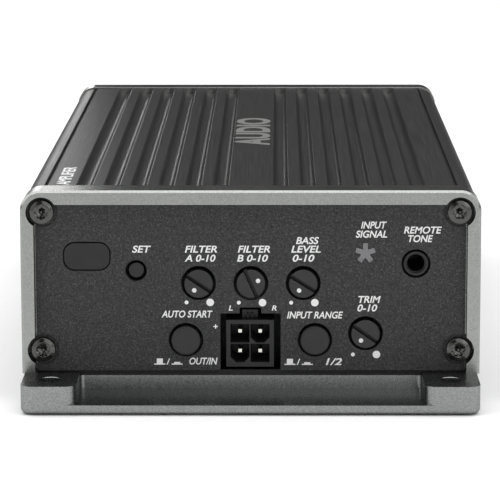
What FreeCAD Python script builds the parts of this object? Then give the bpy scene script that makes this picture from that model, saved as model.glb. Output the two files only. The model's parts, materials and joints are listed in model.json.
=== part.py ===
"""A compact mono car amplifier: finned aluminium case on a cast base with four screw-down feet.

Millimetres. +Z is up, X runs across the case, and the control end faces -Y.
The origin is on the underside, at the middle of the base. One STEP file is written per sub-part.
"""

import FreeCAD, Part
import math
import os

Vector = FreeCAD.Vector

# ---------------------------------------------------------------- driving dimensions
LENGTH = 203.0  # over the feet
BASE_WIDTH = 94.0
FRAME_WIDTH = 95.0
HEIGHT = 44.4
FLANGE = 12.0  # how far the feet reach past each end frame

END_Y = LENGTH / 2 - FLANGE  # outer face of an end frame
FRAME_DEPTH = 7.0
SHELL_END_Y = END_Y - FRAME_DEPTH
FRAME_HALF = FRAME_WIDTH / 2
FRAME_CORNER = 4.3
FRAME_CHAMFER = 0.45

# base casting
BASE_HALF = BASE_WIDTH / 2
BASE_TOP = 5.9
LIP_TOP = 2.0
SCOOP_RISE = 0.4  # the scoop's floor climbs this much from lip to wall
SILL_TOP = 5.1
SCOOP_HALF = 35.6
SCOOP_Y = 87.3
FOOT_ROUND = 2.4
BASE_EDGE_ROUND = 1.1
POCKET_HALF = 40.2
POCKET_Y = 85.0
POCKET_FLOOR = 2.6
FOOT_HOLE_X = 41.2
FOOT_HOLE_Y = 94.8
FOOT_HOLE_R = 2.25
FOOT_HOLE_CHAMFER = 0.1

# finned shell
SHELL_INSET = 0.3  # the end frames stand this proud of the shell
SHELL_HALF = FRAME_HALF - SHELL_INSET
SHELL_TOP = HEIGHT - SHELL_INSET
SHOULDER = 4.0
WALL_INNER = 44.4
ROOF_UNDER = 40.4
RIB_INNER = 40.2
RIB_TOP = 13.7
FIN_PITCH = 5.7
FIRST_GROOVE_X = 6.25
GROOVES_PER_SIDE = 6
GROOVE_TOP_HALF = 1.6
GROOVE_FLOOR_HALF = 0.85
GROOVE_DEPTH = 1.4
GROOVE_LIP_ROUND = 0.35
GROOVE_FLOOR_ROUND = 1.2
LINE_GROOVE_X = 42.7
LINE_GROOVE_HALF = 0.38
LINE_GROOVE_DEPTH = 0.8

# corner screws that hold panel and frame to the shell
SCREW_X = 43.1
SCREW_LOW_Z = 10.8
SCREW_HIGH_Z = 39.8
SCREW_BOSS_R = 2.9
SCREW_POCKET_R = 3.2
SCREW_HEAD_R = 2.5
SCREW_HEAD_H = 1.7
SHANK_R = 1.25
PILOT_R = 1.3
CLEAR_R = 1.6
SCREW_SEAT = 0.35  # how far a corner screw's seat is sunk in its panel
SCREW_BITE = 9.0  # how far its shank goes into the shell

# end panels
PANEL_RECESS = 1.8
PANEL_THICK = 1.5
PANEL_FRONT = END_Y - PANEL_RECESS
PANEL_BACK = PANEL_FRONT - PANEL_THICK
PANEL_GAP = 0.25
WINDOW_HALF = 44.75
WINDOW_TOP = 41.45
LEDGE_HALF = 39.4
LEDGE_TOP = 36.2
PANEL_BOTTOM = 6.2
HOLE_CHAMFER = 0.1

# boards
BOARD_THICK = 1.6
MAIN_BOARD_Z = 5.1
MAIN_BOARD_TOP = MAIN_BOARD_Z + BOARD_THICK
MAIN_BOARD_HALF = 39.1
MAIN_BOARD_Y = (-73.5, 84.5)
CONTROL_BOARD_Y = -76.0  # its front face
CONTROL_BOARD_BACK = CONTROL_BOARD_Y + BOARD_THICK
CONTROL_BOARD_HALF = 39.2
CONTROL_BOARD_Z = (6.2, 38.5)
BOARD_SCREWS = [(sx * 36.0, y) for sx in (-1, 1) for y in (-66.0, -24.0, 78.0)]
BOARD_POST_R = 3.0
BOARD_HEAD_R = 2.4
BOARD_HEAD_H = 1.6
BOARD_SCREW_TIP = 1.5
BASE_SCREWS = [(sx * 43.4, y) for sx in (-1, 1) for y in (-70.0, 0.0, 70.0)]
BASE_HEAD_R = 2.8
BASE_SCREW_TIP = 9.0
LINK_PINS = 7
LINK_PIN_X = -36.5  # the first pin; the rest follow at the pitch
LINK_PIN_PITCH = 2.54
LINK_PIN_Z = (9.1, 9.7)
LINK_PIN_DOWN_Y = (-71.0, -70.4)
LINK_PIN_HALF = 0.3
LINK_STRIP_X = (-38.0, -19.8)
LINK_STRIP_Z = (8.2, 10.6)

# rotary controls: name, x, z and where the pointer dot stands, in degrees clockwise from the top
KNOBS = [
    ("high_pass_knob", -10.8, 24.5, 214.0),
    ("low_pass_knob", 0.05, 24.5, 66.0),
    ("bass_boost_knob", 10.9, 24.5, 212.0),
    ("gain_knob", 23.85, 13.85, 215.0),
]
KNOB_R = 3.0
KNOB_HOLE_R = 3.6
KNOB_HOLE_RISE = 0.2  # each hole's centre is this much above its knob's
KNOB_CHAMFER = 0.15
KNOB_FRONT = PANEL_FRONT - 0.1
KNOB_SKIRT = 3.2
KNOB_SLOT_WIDTH = 0.8
KNOB_SLOT_DEPTH = 1.8
KNOB_DOT_R = 0.52
KNOB_DOT_AT = 1.62
POT_SIZE = 9.4
POT_FRONT = 81.4
POT_SHAFT_R = 1.5
RUNNING = 0.05

# push controls
PUSH_BUTTONS = [("offset_button", -13.45), ("input_level_button", 13.35)]
PUSH_Z = 12.7
PUSH_R = 3.05
PUSH_HOLE_R = 3.5
PUSH_PROUD = 1.2
PUSH_CAP_DEPTH = 4.4
PUSH_STEM_R = 1.2
SWITCH_SIZE = 8.0
SWITCH_FRONT = 82.0
SET_X, SET_Z = -23.7, 27.3
SET_R = 1.65
SET_HOLE_R = 2.2
SET_HOLE_CHAMFER = 0.15
SET_SUNK = 1.0

# other front pieces
PLUG_X, PLUG_Z = -33.9, 30.35
PLUG_SIZE = (9.45, 5.65)
PLUG_HOLE = (9.9, 6.1)
PLUG_ROUND = 2.45
LAMP_X, LAMP_Z = 23.75, 31.05
LAMP_ARM = (2.1, 1.1)  # reach and width of each arm
LAMP_ARMS = 5
LED_R = 1.5
LED_FLANGE_R = 1.9
LED_LEAD = 0.25  # half a lead's width
LED_LEAD_AT = 1.27  # each lead from the middle
JACK_X, JACK_Z = 34.2, 28.8
JACK_BORE_R = 1.8
JACK_BORE_DEPTH = 14.0
JACK_MOUTH_R = 2.0
JACK_MOUTH_DEPTH = 0.8
JACK_BARREL_R = 2.55
JACK_HOLE_R = 3.0
JACK_BODY = 4.0  # half the body's width
JACK_BODY_Y = (-84.0, -72.0)
JACK_TAILS = [(-1, -80.0), (1, -76.5), (-1, -74.0)]  # side and y
JACK_TAIL_OUT = 1.2
HEADER_X, HEADER_Z = -0.15, 11.85
HEADER_SIZE = 10.0
HEADER_PITCH = 4.2
HEADER_CELL = 3.9
HEADER_FRONT = PANEL_FRONT - 0.5
HEADER_BACK = 76.0
HEADER_CROP = 1.1
HEADER_CELL_DEPTH = 8.5
LATCH_HALF = 1.7
LATCH_TOP = 18.6
LATCH_SET_BACK = 2.4
LATCH_DEPTH = 4.0
RIB_AT = 0.45
RIB_HALF = 0.2
PIN_SIZE = 0.85
PIN_FRONT = 84.6
PANEL_HEADER_GAP = (-6.3, 6.2, 18.3)  # left, right and top of the panel's cut-out
PANEL_LATCH_GAP = (-2.3, 2.2, 19.55)

# rear terminals: a screw turns in place and lifts a cage that clamps the wire under a tongue
CELL_WALL = 1.2
CAGE_WALL = 0.8
CAGE_PLAY = 0.15
TERMINAL_OUT_Y = 99.5
TERMINAL_IN_Y = 77.0
TERMINAL_Z = (7.0, 23.4)
BLOCK_GAP = 0.3
CAGE_Y = (90.6, 98.0)
CAGE_Z = (8.45, 17.1)
CAGE_FLOOR = 0.85
CAGE_NUT = 1.8
CAGE_TRAVEL = 2.8
TONGUE_Z = (14.3, 15.2)
TERMINAL_SCREW_Y = 94.3
TERMINAL_HEAD_R = 2.5
TERMINAL_HEAD_Z = (20.25, 22.3)
TERMINAL_SHANK_R = 1.5
POWER_BLOCK_X = 18.0
POWER_CELLS = [("power_positive", 6.5), ("remote_turn_on", 4.8), ("power_ground", 6.5)]
SPEAKER_BLOCK_X = -20.0
SPEAKER_CELLS = [("speaker_positive", 5.4), ("speaker_negative", 5.4)]
STATUS_LAMP_X, STATUS_LAMP_Z = -31.5, 30.0

# inside
TRANSISTOR_Y = [-12.0, 4.0, 20.0, 36.0]
TRANSISTOR_HALF = 5.0
TRANSISTOR_DEPTH = 4.5
TRANSISTOR_Z = (16.0, 25.0, 32.0)  # body bottom, body top, tab top
LEG_PITCH = 2.54
LEG_X = 38.2
CLAMP_SCREW_Y = [-4.0, 12.0, 28.0]
CLAMP_Z = 23.0
CLAMP_BAR_X = 37.4
CLAMP_HEAD_H = 1.8
CLAMP_TIP_X = 46.2
PAD_THICK = 0.3
TRANSFORMER_AT = (14.0, 27.0)
TRANSFORMER_RING = (6.5, 12.5, 11.0, 2.0)  # inner radius, outer radius, height, winding cover
CHOKES_AT = [(-19.0, 58.0), (-19.0, 34.0)]
CHOKE_RING = (4.5, 8.5, 8.0, 1.5)
SUPPLY_CANS = [(4.0, 67.0), (4.0, 52.5), (18.0, 67.0), (18.0, 52.5), (32.0, 67.0)]
SUPPLY_CAN = (6.2, 25.0)  # radius and height
RAIL_CANS = [(-9.0, 0.0), (-9.0, -13.0), (4.0, 0.0), (4.0, -13.0)]
RAIL_CAN = (5.0, 20.0)
FILM_Y = [40.0, 21.0]
FILM_X = (-7.0, -1.0)
FILM_HALF = 8.0
FILM_H = 12.0
CHIPS_AT = [(-24, -44), (-24, -30), (16, -44), (16, -30), (28, -40), (-30, -56)]
CHIP_HALF = (3.0, 2.5)
CHIP_H = 1.6
PROCESSOR = ((-10.0, 4.0), (-48.0, -34.0), 1.5)  # x, y and height

PARTS = "parts"


# ---------------------------------------------------------------- shape helpers
def box(x0, x1, y0, y1, z0, z1):
    return Part.makeBox(x1 - x0, y1 - y0, z1 - z0, Vector(x0, y0, z0))


def rod_y(x, z, r, y0, y1):
    return Part.makeCylinder(r, y1 - y0, Vector(x, y0, z), Vector(0, 1, 0))


def rod_z(x, y, r, z0, z1):
    return Part.makeCylinder(r, z1 - z0, Vector(x, y, z0), Vector(0, 0, 1))


def rod_x(y, z, r, x0, x1):
    return Part.makeCylinder(r, x1 - x0, Vector(x0, y, z), Vector(1, 0, 0))


def fuse(shapes):
    whole = shapes[0]
    if len(shapes) > 1:
        whole = whole.multiFuse(shapes[1:])
    return whole.removeSplitter()


def cut(shape, tools):
    return shape.cut(Part.makeCompound(tools))


def mirror_x(shape):
    return shape.mirror(Vector(0, 0, 0), Vector(1, 0, 0))


def to_rear(shape):
    """Turns a piece of the control end half a turn about Z, to the terminal end."""
    turned = shape.copy()
    turned.rotate(Vector(0, 0, 0), Vector(0, 0, 1), 180)
    return turned


def rounded_outline(corners, place):
    """A closed wire through (u, v, radius) corners; place(u, v) puts a point in space."""
    runs = []
    count = len(corners)
    for i, (u, v, radius) in enumerate(corners):
        here = Vector(u, v, 0)
        before = Vector(corners[i - 1][0], corners[i - 1][1], 0) - here
        after = Vector(corners[(i + 1) % count][0], corners[(i + 1) % count][1], 0) - here
        if radius <= 0:
            runs.append((here, None, here))
            continue
        before.normalize()
        after.normalize()
        half = before.getAngle(after) / 2
        reach = radius / math.tan(half)
        middle = (before + after).normalize()
        centre = here + middle * (radius / math.sin(half))
        runs.append((here + before * reach, centre - middle * radius, here + after * reach))
    edges = []
    for i, (start, top, end) in enumerate(runs):
        if top is not None:
            edges.append(Part.Arc(*(place(p.x, p.y) for p in (start, top, end))).toShape())
        following = runs[(i + 1) % count][0]
        if (following - end).Length > 1e-6:
            line = Part.LineSegment(place(end.x, end.y), place(following.x, following.y))
            edges.append(line.toShape())
    return Part.Wire(edges)


def prism_y(corners, y0, y1):
    """An XZ outline pushed from y0 to y1."""
    wire = rounded_outline(corners, lambda u, v: Vector(u, y0, v))
    return Part.Face(wire).extrude(Vector(0, y1 - y0, 0))


def prism_z(corners, z0, z1):
    """An XY outline pushed from z0 to z1."""
    wire = rounded_outline(corners, lambda u, v: Vector(u, v, z0))
    return Part.Face(wire).extrude(Vector(0, 0, z1 - z0))


def rounded_bar_y(x, z, width, height, radius, y0, y1):
    """A bar along Y with a rounded rectangular section."""
    w, h = width / 2, height / 2
    corners = [(x - w, z - h), (x + w, z - h), (x + w, z + h), (x - w, z + h)]
    return prism_y([(u, v, radius) for u, v in corners], y0, y1)


def panel_hole(x, z, r, chamfer=HOLE_CHAMFER):
    """A round hole through a control-end panel, with its outer edge broken."""
    hole = rod_y(x, z, r, -PANEL_FRONT - 1, -PANEL_BACK + 1)
    edge = Part.makeCone(r + chamfer, r, chamfer, Vector(x, -PANEL_FRONT, z), Vector(0, 1, 0))
    return hole.fuse(edge)


def corner_screw_places():
    return [(sx * SCREW_X, z) for sx in (-1, 1) for z in (SCREW_LOW_Z, SCREW_HIGH_Z)]


def save(name, *solids):
    shape = solids[0] if len(solids) == 1 else Part.makeCompound(list(solids))
    bad = [s for s in shape.Solids if not s.isValid() or s.Volume <= 0]
    state = "  BAD" if bad else ""
    print(f"{name:26s} solids {len(shape.Solids):3d}  volume {shape.Volume:10.1f}{state}")
    shape.exportStep(os.path.join(PARTS, name + ".step"))


# ---------------------------------------------------------------- case
def shell_outline():
    """The extrusion's section: grooved roof, rounded shoulders, side walls with a thick foot."""
    half = []  # right-hand half, from the middle of the roof outwards and down
    floor = SHELL_TOP - GROOVE_DEPTH
    for i in range(GROOVES_PER_SIDE):
        gx = FIRST_GROOVE_X + i * FIN_PITCH
        half.append((gx - GROOVE_TOP_HALF, SHELL_TOP, GROOVE_LIP_ROUND))
        half.append((gx - GROOVE_FLOOR_HALF, floor, GROOVE_FLOOR_ROUND))
        half.append((gx + GROOVE_FLOOR_HALF, floor, GROOVE_FLOOR_ROUND))
        half.append((gx + GROOVE_TOP_HALF, SHELL_TOP, GROOVE_LIP_ROUND))
    for side, z in ((-1, SHELL_TOP), (-1, SHELL_TOP - LINE_GROOVE_DEPTH)):
        half.append((LINE_GROOVE_X + side * LINE_GROOVE_HALF, z, 0))
    for side, z in ((1, SHELL_TOP - LINE_GROOVE_DEPTH), (1, SHELL_TOP)):
        half.append((LINE_GROOVE_X + side * LINE_GROOVE_HALF, z, 0))
    half.append((SHELL_HALF, SHELL_TOP, SHOULDER))
    half.append((SHELL_HALF, BASE_TOP, 0))
    half.append((RIB_INNER, BASE_TOP, 0))
    half.append((RIB_INNER, RIB_TOP, 1.0))
    half.append((WALL_INNER, RIB_TOP, 1.0))
    half.append((WALL_INNER, ROOF_UNDER, 1.0))
    left = [(-u, v, radius) for u, v, radius in reversed(half)]
    return half + left


def heatsink_shell():
    shell = prism_y(shell_outline(), -SHELL_END_Y, SHELL_END_Y)
    bosses = []
    for sx in (-1, 1):
        boss = rod_y(sx * SCREW_X, SCREW_HIGH_Z, SCREW_BOSS_R, -SHELL_END_Y, SHELL_END_Y)
        bosses.append(boss)
    shell = fuse([shell] + bosses)
    holes = [rod_y(x, z, PILOT_R, -SHELL_END_Y - 1, SHELL_END_Y + 1) for x, z in corner_screw_places()]
    holes += [rod_z(x, y, PILOT_R, BASE_TOP - 1, BASE_SCREW_TIP + 0.2) for x, y in BASE_SCREWS]
    for y in CLAMP_SCREW_Y:
        hole = rod_x(y, CLAMP_Z, PILOT_R, WALL_INNER - 1, CLAMP_TIP_X + 0.2)
        holes += [hole, mirror_x(hole)]
    shell = cut(shell, holes)
    save("heatsink_shell", shell)


def end_frame():
    """The control-end frame: an arch round the panel, with a ledge behind it."""
    outer = [
        (-FRAME_HALF, BASE_TOP, 0),
        (-FRAME_HALF, HEIGHT, FRAME_CORNER),
        (FRAME_HALF, HEIGHT, FRAME_CORNER),
        (FRAME_HALF, BASE_TOP, 0),
    ]
    frame = prism_y(outer, -END_Y, -SHELL_END_Y)
    front_edges = []
    for edge in frame.Edges:
        middle = edge.BoundBox.Center
        on_front = edge.BoundBox.YMax < -END_Y + 0.01
        if on_front and middle.z > BASE_TOP + 0.1:
            front_edges.append(edge)
    frame = frame.makeChamfer(FRAME_CHAMFER, front_edges)
    window = box(-WINDOW_HALF, WINDOW_HALF, -END_Y - 1, -PANEL_BACK, BASE_TOP - 1, WINDOW_TOP)
    ledge = box(-LEDGE_HALF, LEDGE_HALF, -PANEL_BACK - 1, -SHELL_END_Y + 1, BASE_TOP - 1, LEDGE_TOP)
    pockets = [rod_y(x, z, SCREW_POCKET_R, -END_Y - 1, -PANEL_BACK) for x, z in corner_screw_places()]
    holes = [rod_y(x, z, CLEAR_R, -END_Y, -SHELL_END_Y + 1) for x, z in corner_screw_places()]
    return cut(frame, [window, ledge] + pockets + holes)


def scoop():
    """The dished cut between two feet at the control end, with a rounded corner at each foot."""
    out_y = -LENGTH / 2 - 5
    edge_y = -LENGTH / 2
    corners = [
        (-SCOOP_HALF, -SCOOP_Y, 0.9),
        (SCOOP_HALF, -SCOOP_Y, 0.9),
        (SCOOP_HALF, edge_y, FOOT_ROUND),
        (SCOOP_HALF + 9, edge_y, 0),
        (SCOOP_HALF + 9, out_y, 0),
        (-SCOOP_HALF - 9, out_y, 0),
        (-SCOOP_HALF - 9, edge_y, 0),
        (-SCOOP_HALF, edge_y, FOOT_ROUND),
    ]
    dish = prism_z(corners, LIP_TOP, BASE_TOP + 1)
    slope = [
        Vector(-SCOOP_HALF - 10, edge_y, LIP_TOP),
        Vector(-SCOOP_HALF - 10, -SCOOP_Y, LIP_TOP + SCOOP_RISE),
        Vector(-SCOOP_HALF - 10, -SCOOP_Y, LIP_TOP - 1),
        Vector(-SCOOP_HALF - 10, edge_y, LIP_TOP - 1),
    ]
    wedge = Part.Face(Part.makePolygon(slope + slope[:1])).extrude(Vector(2 * SCOOP_HALF + 20, 0, 0))
    return dish.cut(wedge)


def base_plate():
    half = [(BASE_HALF, -LENGTH / 2), (BASE_HALF, LENGTH / 2)]
    corners = [(x, y, FOOT_ROUND) for x, y in half] + [(-x, y, FOOT_ROUND) for x, y in reversed(half)]
    base = prism_z(corners, 0, BASE_TOP)
    under = [e for e in base.Edges if e.BoundBox.ZMax < 0.01]
    base = base.makeFillet(BASE_EDGE_ROUND, under)
    tools = [scoop(), to_rear(scoop())]
    tools.append(box(-POCKET_HALF, POCKET_HALF, -POCKET_Y, POCKET_Y, POCKET_FLOOR, BASE_TOP + 1))
    tools.append(box(-SCOOP_HALF, SCOOP_HALF, -SCOOP_Y - 1, SCOOP_Y + 1, SILL_TOP, BASE_TOP + 1))
    base = cut(base, tools)
    posts = [rod_z(x, y, BOARD_POST_R, POCKET_FLOOR - 0.5, MAIN_BOARD_Z) for x, y in BOARD_SCREWS]
    base = fuse([base] + posts)
    holes = [rod_z(x, y, PILOT_R, 1.0, MAIN_BOARD_Z + 1) for x, y in BOARD_SCREWS]
    for x, y in BASE_SCREWS:
        holes.append(rod_z(x, y, CLEAR_R, -1, BASE_TOP + 1))
        holes.append(Part.makeCone(2.95, CLEAR_R, 1.35, Vector(x, y, 0), Vector(0, 0, 1)))
    for sx in (-1, 1):
        for sy in (-1, 1):
            x, y = sx * FOOT_HOLE_X, sy * FOOT_HOLE_Y
            holes.append(rod_z(x, y, FOOT_HOLE_R, -1, BASE_TOP + 1))
            top = FOOT_HOLE_R + FOOT_HOLE_CHAMFER
            at = Vector(x, y, BASE_TOP - FOOT_HOLE_CHAMFER)
            holes.append(Part.makeCone(FOOT_HOLE_R, top, FOOT_HOLE_CHAMFER, at, Vector(0, 0, 1)))
    save("base_plate", cut(base, holes))


def blank_panel():
    """A control-end panel before its own cut-outs: a plate with a round lobe at each corner screw."""
    half = WINDOW_HALF - PANEL_GAP
    plate = box(-half, half, -PANEL_FRONT, -PANEL_BACK, PANEL_BOTTOM, WINDOW_TOP - PANEL_GAP)
    lobes = [
        rod_y(x, z, SCREW_POCKET_R - PANEL_GAP / 2, -PANEL_FRONT, -PANEL_BACK)
        for x, z in corner_screw_places()
    ]
    plate = fuse([plate] + lobes)
    holes = []
    for x, z in corner_screw_places():
        holes.append(rod_y(x, z, CLEAR_R, -PANEL_FRONT - 1, -PANEL_BACK + 1))
        holes.append(rod_y(x, z, SCREW_POCKET_R, -PANEL_FRONT - 1, -PANEL_FRONT + SCREW_SEAT))
    return cut(plate, holes)


def lamp_star(reach, width, y0, y1):
    """A five-armed lamp window, pushed along Y."""
    arms = []
    for i in range(LAMP_ARMS):
        arm = box(-width / 2, width / 2, y0, y1, 0, reach)
        arm.rotate(Vector(0, 0, 0), Vector(0, 1, 0), 360.0 * i / LAMP_ARMS)
        arms.append(arm)
    star = fuse(arms)
    star.translate(Vector(LAMP_X, 0, LAMP_Z))
    return star


def front_panel():
    tools = [panel_hole(x, z + KNOB_HOLE_RISE, KNOB_HOLE_R) for _, x, z, _ in KNOBS]
    tools += [panel_hole(x, PUSH_Z, PUSH_HOLE_R) for _, x in PUSH_BUTTONS]
    tools.append(panel_hole(SET_X, SET_Z, SET_HOLE_R, SET_HOLE_CHAMFER))
    tools.append(panel_hole(JACK_X, JACK_Z, JACK_HOLE_R))
    y0, y1 = -PANEL_FRONT - 1, -PANEL_BACK + 1
    tools.append(rounded_bar_y(PLUG_X, PLUG_Z, PLUG_HOLE[0], PLUG_HOLE[1], PLUG_ROUND, y0, y1))
    tools.append(lamp_star(LAMP_ARM[0] + 0.05, LAMP_ARM[1] + 0.1, y0, y1))
    left, right, top = PANEL_HEADER_GAP
    tools.append(box(left, right, y0, y1, PANEL_BOTTOM - 1, top))
    left, right, top = PANEL_LATCH_GAP
    tools.append(box(left, right, y0, y1, PANEL_BOTTOM, top))
    save("front_panel", cut(blank_panel(), tools))


def block_span(cells):
    return sum(width + 2 * CAGE_WALL + 2 * CAGE_PLAY + CELL_WALL for _, width in cells) + CELL_WALL


def rear_panel():
    panel = to_rear(blank_panel())
    y0, y1 = PANEL_BACK - 1, PANEL_FRONT + 1
    top = TERMINAL_Z[1] + BLOCK_GAP
    tools = []
    for centre, cells in ((POWER_BLOCK_X, POWER_CELLS), (SPEAKER_BLOCK_X, SPEAKER_CELLS)):
        half = block_span(cells) / 2 + BLOCK_GAP
        tools.append(box(centre - half, centre + half, y0, y1, PANEL_BOTTOM - 1, top))
    tools.append(rod_y(STATUS_LAMP_X, STATUS_LAMP_Z, LED_R + 0.1, y0, y1))
    save("rear_panel", cut(panel, tools))


def end_gasket():
    """The black foam strip that fills the slit between base and panel at the control end."""
    y0, y1 = -PANEL_FRONT + SCREW_SEAT, -PANEL_BACK
    low = box(-SCOOP_HALF, SCOOP_HALF, y0, y1, SILL_TOP, BASE_TOP)
    high = box(-WINDOW_HALF + 0.1, WINDOW_HALF - 0.1, y0, y1, BASE_TOP, PANEL_BOTTOM)
    return low.fuse(high).removeSplitter()


# ---------------------------------------------------------------- fasteners
def six_lobe(radius, depth, at, along):
    """The tool for a six-lobed recess, sunk by depth from a point."""
    core = Part.makeCylinder(radius * 0.78, depth, at, along)
    side = Vector(0, 0, 1).cross(along)
    if side.Length < 0.5:
        side = Vector(1, 0, 0)
    up = along.cross(side)
    lobes = []
    for i in range(6):
        a = math.radians(60.0 * i)
        offset = (side * math.cos(a) + up * math.sin(a)) * (radius * 0.76)
        lobes.append(Part.makeCylinder(radius * 0.25, depth, at + offset, along))
    return core.multiFuse(lobes)


def panel_screw(x, z):
    """A pan-head screw with a six-lobed recess and a centre pin, driven along +Y at the control end."""
    seat = -PANEL_FRONT + SCREW_SEAT
    front = seat - SCREW_HEAD_H
    head = rod_y(x, z, SCREW_HEAD_R, front, seat)
    rim = [e for e in head.Edges if e.BoundBox.YMax < front + 0.01]
    head = head.makeFillet(0.45, rim)
    shank = rod_y(x, z, SHANK_R, seat, -SHELL_END_Y + SCREW_BITE)
    screw = fuse([head, shank])
    recess = six_lobe(1.45, 1.0, Vector(x, front, z), Vector(0, 1, 0))
    pin = rod_y(x, z, 0.32, front + 0.25, front + 1.1)
    return fuse([cut(screw, [recess]), pin])


def base_screw(x, y):
    """A countersunk screw driven up through the base into the shell's foot."""
    head = Part.makeCone(BASE_HEAD_R, SHANK_R, 1.3, Vector(x, y, 0.05), Vector(0, 0, 1))
    shank = rod_z(x, y, SHANK_R, 1.2, BASE_SCREW_TIP)
    recess = six_lobe(1.2, 0.9, Vector(x, y, 0.05), Vector(0, 0, 1))
    return cut(fuse([head, shank]), [recess])


def board_screw(x, y):
    top = MAIN_BOARD_TOP + BOARD_HEAD_H
    head = rod_z(x, y, BOARD_HEAD_R, MAIN_BOARD_TOP, top)
    shank = rod_z(x, y, SHANK_R, BOARD_SCREW_TIP, MAIN_BOARD_TOP)
    slot = box(x - 2.5, x + 2.5, y - 0.35, y + 0.35, top - 0.7, top + 1)
    return cut(fuse([head, shank]), [slot])


def clamp_screw(y):
    """A screw that presses the right-hand clamp bar on to the transistors."""
    head = rod_x(y, CLAMP_Z, BOARD_HEAD_R, CLAMP_BAR_X - CLAMP_HEAD_H, CLAMP_BAR_X)
    shank = rod_x(y, CLAMP_Z, SHANK_R, CLAMP_BAR_X, CLAMP_TIP_X)
    return fuse([head, shank])


# ---------------------------------------------------------------- control end
def dial_direction(degrees):
    """A unit vector in the panel's plane, clockwise from the top as seen by the user."""
    a = math.radians(degrees)
    return Vector(math.sin(a), 0, math.cos(a))


def knob(x, z, pointer):
    """A trimmer knob and its shaft: a driver slot across the face and a pointer dot beside it."""
    front = -KNOB_FRONT
    cap = rod_y(x, z, KNOB_R, front, front + KNOB_SKIRT)
    rim = [e for e in cap.Edges if e.BoundBox.YMax < front + 0.01]
    cap = cap.makeChamfer(KNOB_CHAMFER, rim)
    shaft = rod_y(x, z, POT_SHAFT_R, front + KNOB_SKIRT, -POT_FRONT + 4.4)
    slot = box(-KNOB_R - 1, KNOB_R + 1, front - 1, front + KNOB_SLOT_DEPTH, 0, KNOB_SLOT_WIDTH)
    slot.translate(Vector(0, 0, -KNOB_SLOT_WIDTH / 2))
    slot.rotate(Vector(0, 0, 0), Vector(0, 1, 0), pointer)
    slot.translate(Vector(x, 0, z))
    toward = dial_direction(pointer)
    dot_x, dot_z = x + toward.x * KNOB_DOT_AT, z + toward.z * KNOB_DOT_AT
    dimple = rod_y(dot_x, dot_z, KNOB_DOT_R, front - 1, front + 0.12)
    return cut(fuse([cap, shaft]), [slot, dimple])


def pot_housing(x, z):
    half = POT_SIZE / 2
    body = box(x - half, x + half, -POT_FRONT, CONTROL_BOARD_Y, z - half, z + half)
    corner = [e for e in body.Edges if e.BoundBox.YLength > 3]
    body = body.makeFillet(1.0, corner)
    bore = rod_y(x, z, POT_SHAFT_R + RUNNING, -POT_FRONT - 1, -POT_FRONT + 4.6)
    return cut(body, [bore])


def push_button(x):
    """A latching switch's cap, crowned at the front, with its stem."""
    front = -PANEL_FRONT - PUSH_PROUD
    cap = rod_y(x, PUSH_Z, PUSH_R, front, front + PUSH_CAP_DEPTH)
    rim = [e for e in cap.Edges if e.BoundBox.YMax < front + 0.01]
    cap = cap.makeFillet(0.35, rim)
    stem = rod_y(x, PUSH_Z, PUSH_STEM_R, front + PUSH_CAP_DEPTH, -SWITCH_FRONT + 3.0)
    return fuse([cap, stem])


def push_switch(x):
    half = SWITCH_SIZE / 2
    body = box(x - half, x + half, -SWITCH_FRONT, CONTROL_BOARD_Y, PUSH_Z - half, PUSH_Z + half)
    bore = rod_y(x, PUSH_Z, PUSH_STEM_R + RUNNING, -SWITCH_FRONT - 1, -SWITCH_FRONT + 5.2)
    return cut(body, [bore])


def set_button():
    front = -PANEL_FRONT + SET_SUNK
    cap = rod_y(SET_X, SET_Z, SET_R, front, -82.4)
    rim = [e for e in cap.Edges if e.BoundBox.YMax < front + 0.01]
    cap = cap.makeFillet(0.2, rim)
    stem = rod_y(SET_X, SET_Z, 1.0, -82.4, -80.9)
    save("set_button", fuse([cap, stem]))


def set_switch():
    body = box(SET_X - 3, SET_X + 3, -81.6, CONTROL_BOARD_Y, SET_Z - 3, SET_Z + 3)
    bore = rod_y(SET_X, SET_Z, 1.0 + RUNNING, -82, -80.2)
    save("set_switch", cut(body, [bore]))


def blanking_plug():
    """A plastic plug that closes an unused port: a face in the panel and a wider flange behind."""
    face = rounded_bar_y(PLUG_X, PLUG_Z, *PLUG_SIZE, PLUG_ROUND - 0.2, -PANEL_FRONT + 0.1, -PANEL_BACK)
    flange = rounded_bar_y(PLUG_X, PLUG_Z, 10.6, 8.0, PLUG_ROUND, -PANEL_BACK, -PANEL_BACK + 1.0)
    save("blanking_plug", fuse([face, flange]))


def signal_lamp():
    front = -PANEL_FRONT - 0.05
    save("signal_lamp_lens", lamp_star(*LAMP_ARM, front, -PANEL_BACK + 1.2))
    led = rod_y(LAMP_X, LAMP_Z, LED_R, -PANEL_BACK + 1.4, -81.5)
    flange = rod_y(LAMP_X, LAMP_Z, LED_FLANGE_R, -82.5, -81.5)
    back = CONTROL_BOARD_BACK + 0.8
    leads = []
    for x in (LAMP_X - LED_LEAD_AT, LAMP_X + LED_LEAD_AT):
        lead = box(x - LED_LEAD, x + LED_LEAD, -81.5, back, LAMP_Z - LED_LEAD, LAMP_Z + LED_LEAD)
        leads.append(lead)
    save("signal_lamp", fuse([led, flange] + leads))


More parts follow.
